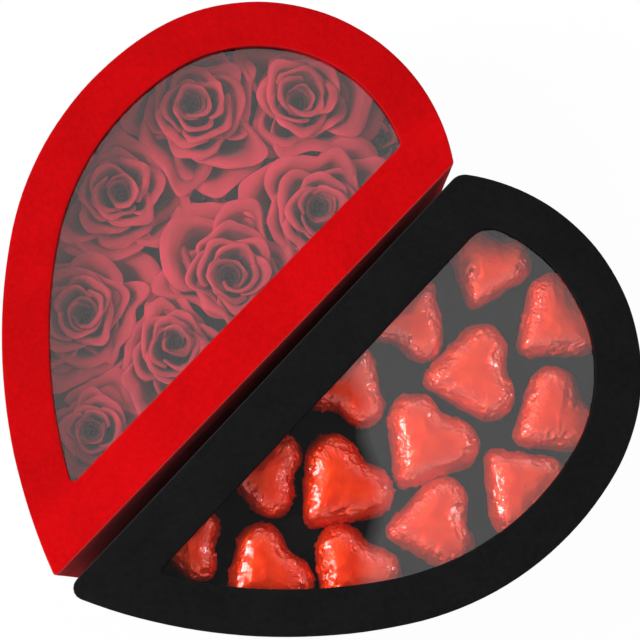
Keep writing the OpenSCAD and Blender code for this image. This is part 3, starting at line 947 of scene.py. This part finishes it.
def make_foam_material(name, dark, light):
    """Open-celled foam: crumbly little pits, each painted darker towards its hollow as shade."""
    material, tree, shader = new_material(name, Roughness=0.95, Specular_IOR_Level=0.1)
    cells = add_node(tree, "TexVoronoi", Vector=object_place(tree), Scale=1400.0).outputs["Distance"]
    # painted shade: the colour darkens towards the bottom of each pit
    tree.links.new(ramped(tree, cells, (0.0, dark), (0.6, light)), shader.inputs["Base Color"])
    bumped(tree, shader, cells, 0.6, CELL_BUMP)
    return material


petal_finish = make_petal_material()
stem_finish = make_stem_material()
floral_foam = make_foam_material("floral_foam", colour(0.012, 0.03, 0.014), colour(0.045, 0.09, 0.05))
riser_foam = make_foam_material("riser_foam", colour(0.006, 0.006, 0.006), colour(0.03, 0.03, 0.03))
print("Made", petal_finish.name, stem_finish.name, floral_foam.name, riser_foam.name)

# %% [markdown]
# ## Growing the ten roses
# Each rose starts at another angle, and the two small closed ones have fewer petals. The petals are open
# sheets, so a Solidify modifier gives them their thickness and one level of subdivision rounds them.
# Under the petals a green hip, a small lathe-turned cup, joins them to the stem.

# %% Roses
PETAL_THICK = 0.28 * MM
FULL_PETALS, SMALL_PETALS = 27, 16
FULL_BUD, SMALL_BUD = 9, 6
ROSE_TURN = 47.0
HIP_SHARES = ((0.0, 1.0), (0.25, 1.05), (0.55, 1.2), (0.8, 1.0), (1.0, 0.35))
HIP_TALL_SHARE = 0.40
HIP_R = 5.4 * MM
HIP_STEPS = 20


def add_hip(mesh, room):
    """The green hip, spun round the rose's axis, from the foam up into the petals."""
    tall = room.height * HIP_TALL_SHARE
    foot = Vector((room.x, room.y, room.foot_z))
    profile = [foot] + [foot + Vector((HIP_R * r, 0, tall * z)) for z, r in HIP_SHARES]
    profile.append(foot + Vector((0, 0, tall)))
    verts = [mesh.verts.new(p) for p in profile]
    edges = [mesh.edges.new(pair) for pair in zip(verts, verts[1:])]
    bmesh.ops.spin(
        mesh, geom=verts + edges, cent=foot, axis=(0, 0, 1), angle=math.tau, steps=HIP_STEPS, use_merge=True
    )
    bmesh.ops.remove_doubles(mesh, verts=mesh.verts, dist=MERGE_DIST)


def grow_rose(name, number):
    room = rooms[name]
    count, bud_count = (SMALL_PETALS, SMALL_BUD) if room.small else (FULL_PETALS, FULL_BUD)
    mesh = bmesh.new()
    layer = mesh.verts.layers.float_vector.new("petal")
    for k in range(count):
        add_petal(mesh, layer, room, Petal(k, count, ROSE_TURN * number, bud_count))
    bmesh.ops.recalc_face_normals(mesh, faces=mesh.faces)
    piece = finish_piece(
        mesh, "rose_head_" + name[5:], petal_finish, "red_base", "rose_petal", name, smooth_angle=180
    )
    shell = piece.modifiers.new("thickness", "SOLIDIFY")
    shell.thickness = PETAL_THICK
    shell.offset = 0
    rounded = piece.modifiers.new("rounding", "SUBSURF")
    rounded.levels = 1
    rounded.render_levels = 1
    hip_mesh = bmesh.new()
    add_hip(hip_mesh, room)
    bmesh.ops.recalc_face_normals(hip_mesh, faces=hip_mesh.faces)
    finish_piece(hip_mesh, "rose_hip_" + name[5:], stem_finish, "red_base", "rose_stem")
    return piece


roses = [grow_rose(name, number) for number, name in enumerate(ROSES)]
print("Roses:", len(roses), "with", sum(len(r.data.polygons) for r in roses), "petal faces before rounding")

# %% [markdown]
# ## Sweets in foil
# Each sweet is a chunky heart of chocolate in thin red foil. The foil is pressed flat on the crown,
# creases where it bends down to the sides, and gathers into small pleats at the foot. A heart is a
# stack of rings: each is the outline drawn in by some share of a lobe's radius, and the crown's rings
# shrink to a point in the middle. The creases are real geometry, because they are what catches the
# light. Where a heart stands, and which way it points, comes from the frame's plain heart.

# %% Room for a sweet
LOBE_SHARE, LOBE_OFF_SHARE, POINT_SHARE = 0.297, 0.251, 0.135
WIDEST_SHARE = 0.22
RING_SLICE = 0.02 * MM
FOIL_SLACK = 1.06


class Seat:
    """Where a plain heart of the frame stands, its length and its height, and where it points."""

    def __init__(self, node):
        low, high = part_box(node)
        self.floor, self.tall = low.z, high.z - low.z
        level = low.z + self.tall * WIDEST_SHARE
        ring = [v.co.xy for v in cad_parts[node].data.vertices if abs(v.co.z - level) < RING_SLICE]
        middle = sum(ring, Vector((0, 0))) / len(ring)
        notch = min(ring, key=lambda p: (p - middle).length)
        self.ahead = (middle - notch).normalized()
        reach = [(p - notch).dot(self.ahead) for p in ring]
        self.length = (max(reach) - min(reach)) * FOIL_SLACK
        self.centre = notch + self.ahead * (max(reach) + min(reach)) / 2

    def place(self, x, y, z):
        """A point given across the heart, along it (the point at -y) and over its foot."""
        side = Vector((-self.ahead.y, self.ahead.x))
        flat = self.centre + side * x - self.ahead * y
        return Vector((flat.x, flat.y, self.floor + z))


HEARTS = numbered("foil_heart_")
seats = {name: Seat(name) for name in HEARTS}
print("Hearts:", {name[11:]: round(seat.length / MM, 1) for name, seat in seats.items()})

# %% Heart outline
LOBE_STEPS, NOTCH_STEPS, SIDE_STEPS, POINT_STEPS = 52, 10, 26, 10
POINT_LEAST = 2.2 * MM
LOBE_LEAST = 0.5 * MM
MEET_GAP = 0.01 * MM


def points_round(x, y, radius, start, end, steps):
    """Points on an arc from one angle to another, without its last one."""
    angles = [blend(start, end, k / steps) for k in range(steps)]
    return [Vector((x + radius * math.cos(t), y + radius * math.sin(t))) for t in angles]


def heart_outline(length, inset, bridge, detail=1.0):
    """A heart's outline drawn in by an inset. bridge is the radius of the hollow that spans the
    notch, as foil does. Half is drawn: hollow, lobe, straight side, half the point; then mirrored.
    detail is the share of the full number of steps."""
    notch_steps, lobe_steps = round(NOTCH_STEPS * detail), round(LOBE_STEPS * detail)
    side_steps, point_steps = round(SIDE_STEPS * detail), round(POINT_STEPS * detail)
    lobe, off, tip = LOBE_SHARE * length, LOBE_OFF_SHARE * length, POINT_SHARE * length
    lobe_y, tip_y = length / 2 - lobe, tip - length / 2
    lean = math.asin((lobe - tip) / math.hypot(off, lobe_y - tip_y))
    side = math.atan2(lobe_y - tip_y, off) - math.pi / 2 - lean
    lobe_now, tip_now = max(lobe - inset, LOBE_LEAST), max(tip - inset, POINT_LEAST)
    tip_y += (tip_now - tip + inset) / -math.sin(side)
    off_now = min(off, lobe_now + bridge - MEET_GAP)
    hollow_y = lobe_y + math.sqrt((lobe_now + bridge) ** 2 - off_now**2)
    meet = math.atan2(lobe_y - hollow_y, off_now)
    shoulder = Vector((off_now + lobe_now * math.cos(side), lobe_y + lobe_now * math.sin(side)))
    foot = Vector((tip_now * math.cos(side), tip_y + tip_now * math.sin(side)))
    half = points_round(0, hollow_y, bridge, -math.pi / 2, meet, notch_steps)
    half += points_round(off_now, lobe_y, lobe_now, meet + math.pi, side, lobe_steps)
    half += [shoulder.lerp(foot, k / side_steps) for k in range(side_steps)]
    half += points_round(0, tip_y, tip_now, side, -math.pi / 2, point_steps)
    half.append(Vector((0, tip_y - tip_now)))
    mirrored = [Vector((-p.x, p.y)) for p in reversed(half[1:-1])]
    return half + mirrored


print("A heart's outline has", len(heart_outline(34 * MM, 0, 4 * MM)), "points")

# %% Section of a sweet
FOOT_LEVELS = ((0.0, 0.13), (0.04, 0.06), (0.09, 0.025), (0.15, 0.005), (0.22, 0.0))
FOOT_TOP = FOOT_LEVELS[-1][0]
BEVEL_STEPS, CROWN_STEPS = 22, 14
BEVEL_DEPTH = 0.58
CROWN_RISE = 0.08
BEVEL_RISE = 0.25
STEEP_POWER, EASE_POWER = 3.8, 0.62


def bevel_height(share):
    """Height share of the bevel: steep at first, then a broad slope that eases into the crown."""
    steep = (1 - (1 - share) ** STEEP_POWER) ** EASE_POWER
    return blend(FOOT_TOP, 1 - CROWN_RISE, steep * (1 - BEVEL_RISE) + share * BEVEL_RISE)


def crown_height(share):
    """Height share of the crown, which is slightly domed. share is 1 at its rim, 0 in its middle."""
    return 1 - CROWN_RISE * share**2


def section(steps):
    """Levels from the foot over the bevel: height share, inset share and crease weight."""
    levels = [(high, inset, blend(0.6, 0.9, high / FOOT_TOP)) for high, inset in FOOT_LEVELS]
    for k in range(1, steps + 1):
        share = (k / steps) ** 1.4
        levels.append((bevel_height(share), BEVEL_DEPTH * share, blend(1.0, 0.55, share**1.5)))
    return levels


print("A sweet has", len(section(BEVEL_STEPS)) + CROWN_STEPS, "rings")

# %% [markdown]
# The foil is laid over the finished heart as a height along each point's normal. Crumpled foil is a
# mosaic of small tilted planes with sharp ridges between, so two mosaics of unlike size are laid over
# each other: FACET_SIZES holds the size, the height and the seed's step of each. Upright pleats lie low
# on the sides, and a few long folds run across the crown.

# %% Foil hearts
CREASE, FOLD = 0.58 * MM, 0.22 * MM
SWEET_DEPTH = 1.2 * MM
BLOT_SPACING, PATCH_SPACING, PLEAT_SPACING = 6.5 * MM, 9 * MM, 1.7 * MM
FOLD_SPACING, SOFT_SPACING = 11 * MM, 7 * MM
FACET_SIZES = ((3.2 * MM, 1.3, 1.0), (2.1 * MM, 0.7, 1.7))
FACET_TILT, FACET_RIDGE = 2.4, 0.3
CREASE_REST = 0.35
HUB_SHARE = 0.05


def facets(point, seed, spacing):
    """Height of crumpled foil: every cell of a random mosaic is a little plane with its own tilt."""
    spot = point / spacing + seed
    distances, middles = noise.voronoi(spot)
    tilt = noise.noise_vector(middles[0] * 3.1)
    ridge = math.exp(-(distances[1] - distances[0]) * 9)
    return FACET_TILT * tilt.dot(spot - middles[0]) + FACET_RIDGE * ridge


def creases(point, up, seed):
    """Crumples and upright pleats low on the sides, as a height."""
    broad = noise.noise(point / BLOT_SPACING + seed)
    pleat = noise.noise(Vector((point.x, point.y, point.z * 0.2)) / PLEAT_SPACING + seed)
    patchy = min(1.15, max(0.08, 0.6 + 2.6 * noise.noise(point / PATCH_SPACING - seed)))
    crumple = sum(facets(point, seed * step, size) * height for size, height, step in FACET_SIZES)
    return broad * 0.9 + crumple * patchy + pleat * blend(1.0, 0.1, min(1.0, up * 1.2))


def folds(point, seed):
    """A few long sharp folds, also across the crown: a line wherever a broad noise changes its sign."""
    line = abs(noise.noise(point / FOLD_SPACING + seed * 2.3))
    softer = noise.noise(point / SOFT_SPACING - seed * 1.9)
    return (1 - min(1.0, line * 5)) * FOLD + softer * FOLD * 0.6


def add_heart(mesh, seat, depth, seed, layer=None):
    """Adds a heart to a mesh, everywhere deeper than its outside by depth. seed gives creases, and
    without it the heart is plain and coarser."""
    detail = 1.0 if seed else 0.35
    lobe = LOBE_SHARE * seat.length
    levels = section(round(BEVEL_STEPS * detail))
    crown_steps = round(CROWN_STEPS * detail)
    hub = Vector((0, seat.length * HUB_SHARE))

    def level_ring(high, inset):
        bridge = seat.length * blend(0.24, 0.42, high)
        outline = heart_outline(seat.length, inset * lobe + depth, bridge, detail)
        return [seat.place(p.x, p.y, blend(depth, seat.tall - depth, high)) for p in outline]

    rings = [level_ring(high, inset) for high, inset, _ in levels]
    weights = [weight for _, _, weight in levels]
    highs = [high for high, _, _ in levels]
    centre = seat.place(hub.x, hub.y, seat.tall - depth)
    for k in range(1, crown_steps):
        share = 1 - k / crown_steps
        top = seat.floor + blend(depth, seat.tall - depth, crown_height(share))
        ring = [centre.lerp(p, share) for p in rings[len(levels) - 1]]
        rings.append([Vector((p.x, p.y, top)) for p in ring])
        weights.append(blend(0.05, 0.55, share**4))
        highs.append(1.0)
    loop, foot_edges = first_ring(mesh, rings[0])
    made_loops, edges = [loop], foot_edges
    for ring in rings[1:]:
        loop, edges = next_ring(mesh, loop, edges, ring)
        made_loops.append(loop)
    for border, z in ((foot_edges, depth), (edges, seat.tall - depth)):
        made = bmesh.ops.extrude_edge_only(mesh, edges=border)["geom"]
        cap = [e for e in made if isinstance(e, bmesh.types.BMVert)]
        bmesh.ops.pointmerge(mesh, verts=cap, merge_co=seat.place(hub.x, hub.y, z))
    bmesh.ops.recalc_face_normals(mesh, faces=mesh.faces)
    if not seed:
        return
    mesh.normal_update()
    moves = []
    for loop, weight, high in zip(made_loops, weights, highs):
        for vert in loop:
            crease = (creases(vert.co, high, seed) - CREASE_REST) * weight * CREASE
            height = crease + folds(vert.co, seed) - FOLD
            moves.append((vert, weight, vert.normal * height))
    for vert, weight, move in moves:
        vert[layer] = weight
        vert.co += move
        vert.co.z = max(vert.co.z, seat.floor)


def foil_heart(name, number):
    mesh = bmesh.new()
    layer = mesh.verts.layers.float.new("crumple")
    add_heart(mesh, seats[name], 0.0, Vector((number * 5.3 + 1, number * 2.1, 0.7)), layer)
    title = name.replace("foil_heart", "foil_wrap")
    return finish_piece(mesh, title, red_foil, "black_base", "red_foil", name, smooth_angle=180)


def chocolate_set():
    """The sweets inside the foil, deeper than its creases reach."""
    whole = bmesh.new()
    for name in HEARTS:
        mesh = bmesh.new()
        add_heart(mesh, seats[name], SWEET_DEPTH, None)
        data = bpy.data.meshes.new("one_sweet")
        mesh.to_mesh(data)
        mesh.free()
        whole.from_mesh(data)
        bpy.data.meshes.remove(data)
    return finish_piece(
        whole, "sweets", chocolate, "black_base", "chocolate", "chocolate_hearts", smooth_angle=60
    )


print("Foil creases are about", CREASE / MM, "mm high, and the sweets lie", SWEET_DEPTH / MM, "mm deeper")

# %% [markdown]
# ## Foil and chocolate finishes
# The foil is aluminium under a red lacquer: the metal gives red reflections, and the clear lacquer on
# top gives white ones. Its roughness changes from place to place, where fingers have smoothed it.
# Fine wrinkles, too small for the mesh, are a bump of crossed noises.

# %% Foil and chocolate materials
WRINKLE_BUMP = 0.6 * MM
BLOOM_BUMP = 0.2 * MM


def make_foil_material():
    material, tree, shader = new_material(
        "red_foil", Metallic=0.45, Specular_IOR_Level=0.0, Coat_Roughness=0.12, Coat_IOR=1.8
    )
    place = object_place(tree)
    rubbed = cloudy(tree, place, 160.0, 3.0)
    tree.links.new(ranged(tree, rubbed, 0.3, 0.7, 0.30, 0.42), shader.inputs["Roughness"])
    tone = ramped(tree, rubbed, (0.3, colour(0.72, 0.022, 0.002)), (0.7, colour(0.85, 0.048, 0.005)))
    tree.links.new(tone, shader.inputs["Base Color"])
    stored = add_node(tree, "Attribute", {"attribute_name": "crumple"}).outputs["Fac"]
    tree.links.new(ranged(tree, stored, 0.1, 0.7, 0.08, 0.65), shader.inputs["Coat Weight"])
    kinks = add_node(tree, "TexVoronoi", {"distance": "MANHATTAN"}, Vector=place, Scale=650.0, Randomness=1.0)
    wrinkle = cloudy(tree, place, 700.0, 4.0, distortion=0.8)
    height = calc(tree, "ADD", kinks.outputs["Distance"], wrinkle)
    where = ranged(tree, stored, 0.1, 0.9, 0.06, 0.6)
    bumped(tree, shader, calc(tree, "MULTIPLY", height, where), 0.8, WRINKLE_BUMP)
    return material


def make_chocolate_material():
    material, tree, shader = new_material("chocolate", Roughness=0.45)
    bloom = cloudy(tree, object_place(tree), 300.0, 3.0)
    brown = ramped(tree, bloom, (0.0, colour(0.03, 0.012, 0.006)), (1.0, colour(0.06, 0.024, 0.012)))
    tree.links.new(brown, shader.inputs["Base Color"])
    bumped(tree, shader, bloom, 0.2, BLOOM_BUMP)
    return material


red_foil = make_foil_material()
chocolate = make_chocolate_material()
foil_hearts = [foil_heart(name, number) for number, name in enumerate(HEARTS)]
sweets = chocolate_set()
print("Foil hearts:", len(foil_hearts), "with", sum(len(h.data.polygons) for h in foil_hearts), "faces")

# %% [markdown]
# ## Finishes for the pieces of the frame
# What is left of the frame keeps its own shape and gets its finish here: boards, papers, foams, stems
# and the two windows.

# %% Paint the frame
HALF_FINISHES = {
    "base_wall": grey_board,
    "base_floor": grey_board,
    "base_shell": grey_board,
    "lid_board": grey_board,
    "lid_skirt": grey_board,
    "base_lining": black_paper,
    "base_backing": black_paper,
    "window": clear_sheet,
}
OTHER_FINISHES = {
    "floral_foam": floral_foam,
    "rose_stems": stem_finish,
    "foam_riser": riser_foam,
    "platform_board": black_paper,
}

finishes = {half + "_" + part: made for half in ("red", "black") for part, made in HALF_FINISHES.items()}
finishes.update(OTHER_FINISHES)
for node, material in finishes.items():
    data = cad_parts[node].data
    data.materials.clear()
    data.materials.append(material)
print("Painted", len(finishes), "nodes of the frame")

# %% [markdown]
# ## The studio
# The photograph is a catalogue picture on plain white. The sky of the scene is white for the camera
# and overhead for reflections, and dimmer for the light that it gives, so that the velvet keeps its
# depth. Its sides are dim in reflections, as in a real studio, which gives the foil dark flanks. One
# long soft lamp stands low at the left of the picture: it draws the white streaks on the left flanks
# of the sweets. A smaller one at the right puts sparks on the creases of the other flanks, and a
# broad one hangs high behind. The last hangs overhead, so that the frames throw no wide shadow on
# what lies under them. The windows mirror the white sky there, so that lamp isn't seen in reflections.
# The floor is white paper that still takes a shadow.

# %% World and floor
SKY_LIGHT = 0.26
DIM_SIDES = 0.25
SIDES_END, SKY_START = 0.3, 0.85
FLOOR_GLOW = 0.97
FLOOR_HALF = 3.0
FLOOR_DROP = 0.2 * MM


def white_world():
    """White for the camera and through the windows, dimmer at the sides in reflections, and dimmer
    still as a light."""
    world = bpy.data.worlds.new("studio")
    world.use_nodes = True
    tree = world.node_tree
    tree.nodes.clear()
    ray = add_node(tree, "LightPath")
    seen = calc(tree, "MAXIMUM", ray.outputs["Is Camera Ray"], ray.outputs["Is Transmission Ray"])
    shown = calc(tree, "MAXIMUM", seen, ray.outputs["Is Glossy Ray"])
    rise = add_node(tree, "SeparateXYZ", Vector=add_node(tree, "TexCoord").outputs["Generated"]).outputs[2]
    level = calc(tree, "MAXIMUM", seen, ranged(tree, rise, SIDES_END, SKY_START, DIM_SIDES, 1.0))
    lit = add_node(tree, "Background", Color=colour(1, 1, 1), Strength=SKY_LIGHT)
    white = add_node(tree, "Background", Color=colour(1, 1, 1), Strength=level)
    mix = add_node(tree, "MixShader", _0=shown, _1=lit.outputs[0], _2=white.outputs[0])
    output = add_node(tree, "OutputWorld")
    tree.links.new(mix.outputs[0], output.inputs["Surface"])
    return world


def stage_piece(mesh, name, material):
    """Turns a bmesh into a piece of the stage, which is no part of the object."""
    data = bpy.data.meshes.new(name)
    mesh.to_mesh(data)
    mesh.free()
    data.materials.append(material)
    piece = bpy.data.objects.new(name, data)
    bpy.context.scene.collection.objects.link(piece)
    return piece


def white_floor():
    mesh = bmesh.new()
    bmesh.ops.create_grid(mesh, x_segments=2, y_segments=2, size=FLOOR_HALF)
    bmesh.ops.translate(mesh, verts=mesh.verts, vec=(0, 0, -FLOOR_DROP))
    material, tree, shader = new_material("white_floor", colour(0.88, 0.88, 0.88), Roughness=0.9)
    ray = add_node(tree, "LightPath")
    glow = add_node(tree, "Emission", Color=colour(1, 1, 1), Strength=1.0)
    share = calc(tree, "MULTIPLY", ray.outputs["Is Camera Ray"], FLOOR_GLOW)
    mix = add_node(tree, "MixShader", _0=share, _1=shader.outputs[0], _2=glow.outputs[0])
    show(tree, mix.outputs[0])
    return stage_piece(mesh, "floor", material)


bpy.context.scene.world = white_world()
floor = white_floor()
print("Sky light", SKY_LIGHT, "and floor", floor.name)

# %% Lamps
HEART_MIDDLE = Vector((0, 0, LID_TOP))
PICTURE_LEFT = Vector((-PICTURE_RIGHT.x, -PICTURE_RIGHT.y, 0))
LAMPS = {
    "left_lamp": (PICTURE_LEFT * 0.85 + Vector((0, 0, 0.86)), 0.24, 0.62, 12.0),
    "right_lamp": (PICTURE_RIGHT * 0.95 + Vector((0, 0, 0.95)), 0.26, 0.26, 3.0),
    "far_lamp": (PICTURE_UP * 1.25 + Vector((0, 0, 1.15)), 1.0, 0.5, 2.0),
    "top_lamp": (Vector((0.001, 0, 1.6)), 0.9, 0.9, 4.5),
}


def soft_lamp(name, place, size_x, size_y, power):
    """A soft lamp that looks at the middle of the lids. Places and sizes are in metres."""
    data = bpy.data.lights.new(name, "AREA")
    data.shape = "RECTANGLE"
    data.size = size_x
    data.size_y = size_y
    data.energy = power
    lamp = bpy.data.objects.new(name, data)
    lamp.matrix_world = look_matrix(place, HEART_MIDDLE, Vector((0, 0, 1)))
    bpy.context.scene.collection.objects.link(lamp)
    return lamp


lamps = {name: soft_lamp(name, *numbers) for name, numbers in LAMPS.items()}
lamps["top_lamp"].visible_glossy = False
lamps["top_lamp"].visible_transmission = False
print("Lamps:", list(lamps))

# %% [markdown]
# ## A dark card for the clear patch
# Part of the black box's window shows no veil, because something dark stands where that part mirrors:
# the photographer and the camera. A card does the same. It hangs level just over the lens, and its
# outline follows from the mirror rule: a point of the window mirrors the point as far beyond it as
# the lens is on this side. The card may only be seen by the window's first reflection, or it would
# darken the foil too, so it is clear for every other ray. Its rim fades, as a thing out of focus does.

# %% Dark card
CARD_HEIGHT = 900 * MM
CARD_FADE = 15 * MM
CARD_COVER = 0.90
FIRST_RAYS = 4.5
PICTURE_SIDE = 640
CLEAR_PATCH_PIXELS = (
    (316, 372),
    (354, 370),
    (374, 400),
    (372, 436),
    (384, 470),
    (391, 500),
    (384, 532),
    (374, 562),
    (368, 626),
    (112, 626),
    (124, 546),
)


def window_point(pixel):
    """The point of the black window that the lens sees at a pixel of the picture."""
    focal = PICTURE_SIDE * LENS_MM / SENSOR_MM
    in_camera = Vector((pixel[0] - PICTURE_SIDE / 2, PICTURE_SIDE / 2 - pixel[1], -focal))
    ahead = camera.matrix_world.to_3x3() @ in_camera
    return LENS_POINT + ahead * (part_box("black_window")[1].z - LENS_POINT.z) / ahead.z


def mirrored_on_card(pixel):
    """Where the window point that the lens sees at this pixel finds its reflection on the card."""
    seen = window_point(pixel)
    away = seen - LENS_POINT
    stretch = (CARD_HEIGHT - seen.z) / -away.z
    return Vector((seen.x + away.x * stretch, seen.y + away.y * stretch, CARD_HEIGHT))


def make_card_material():
    """Black for the window's first reflections, by the cover stored on the card's points."""
    material, tree, shader = new_material("dark_card", colour(0, 0, 0), Roughness=1.0, Specular_IOR_Level=0.0)
    cover = add_node(tree, "Attribute", {"attribute_name": "cover"}).outputs["Fac"]
    first = calc(tree, "LESS_THAN", add_node(tree, "LightPath").outputs["Ray Depth"], FIRST_RAYS)
    clear = add_node(tree, "BsdfTransparent")
    seen = calc(tree, "MULTIPLY", cover, first)
    mix = add_node(tree, "MixShader", _0=seen, _1=clear.outputs[0], _2=shader.outputs[0])
    show(tree, mix.outputs[0])
    return material


def hang_card():
    mesh = bmesh.new()
    layer = mesh.verts.layers.float.new("cover")
    rim = mesh.faces.new([mesh.verts.new(mirrored_on_card(p)) for p in CLEAR_PATCH_PIXELS])
    rim.normal_update()
    bmesh.ops.inset_individual(mesh, faces=[rim], thickness=CARD_FADE)
    for vert in rim.verts:
        vert[layer] = CARD_COVER
    card = stage_piece(mesh, "dark_card", make_card_material())
    card.visible_camera = False
    card.visible_diffuse = False
    card.visible_shadow = False
    return card


card = hang_card()
print("The card spans", [round(d, 3) for d in card.dimensions])

# %% [markdown]
# ## Render settings
# The view transform stays plain, so a colour comes out as it is written.

# %% Finish
bpy.context.scene.view_settings.view_transform = "Standard"
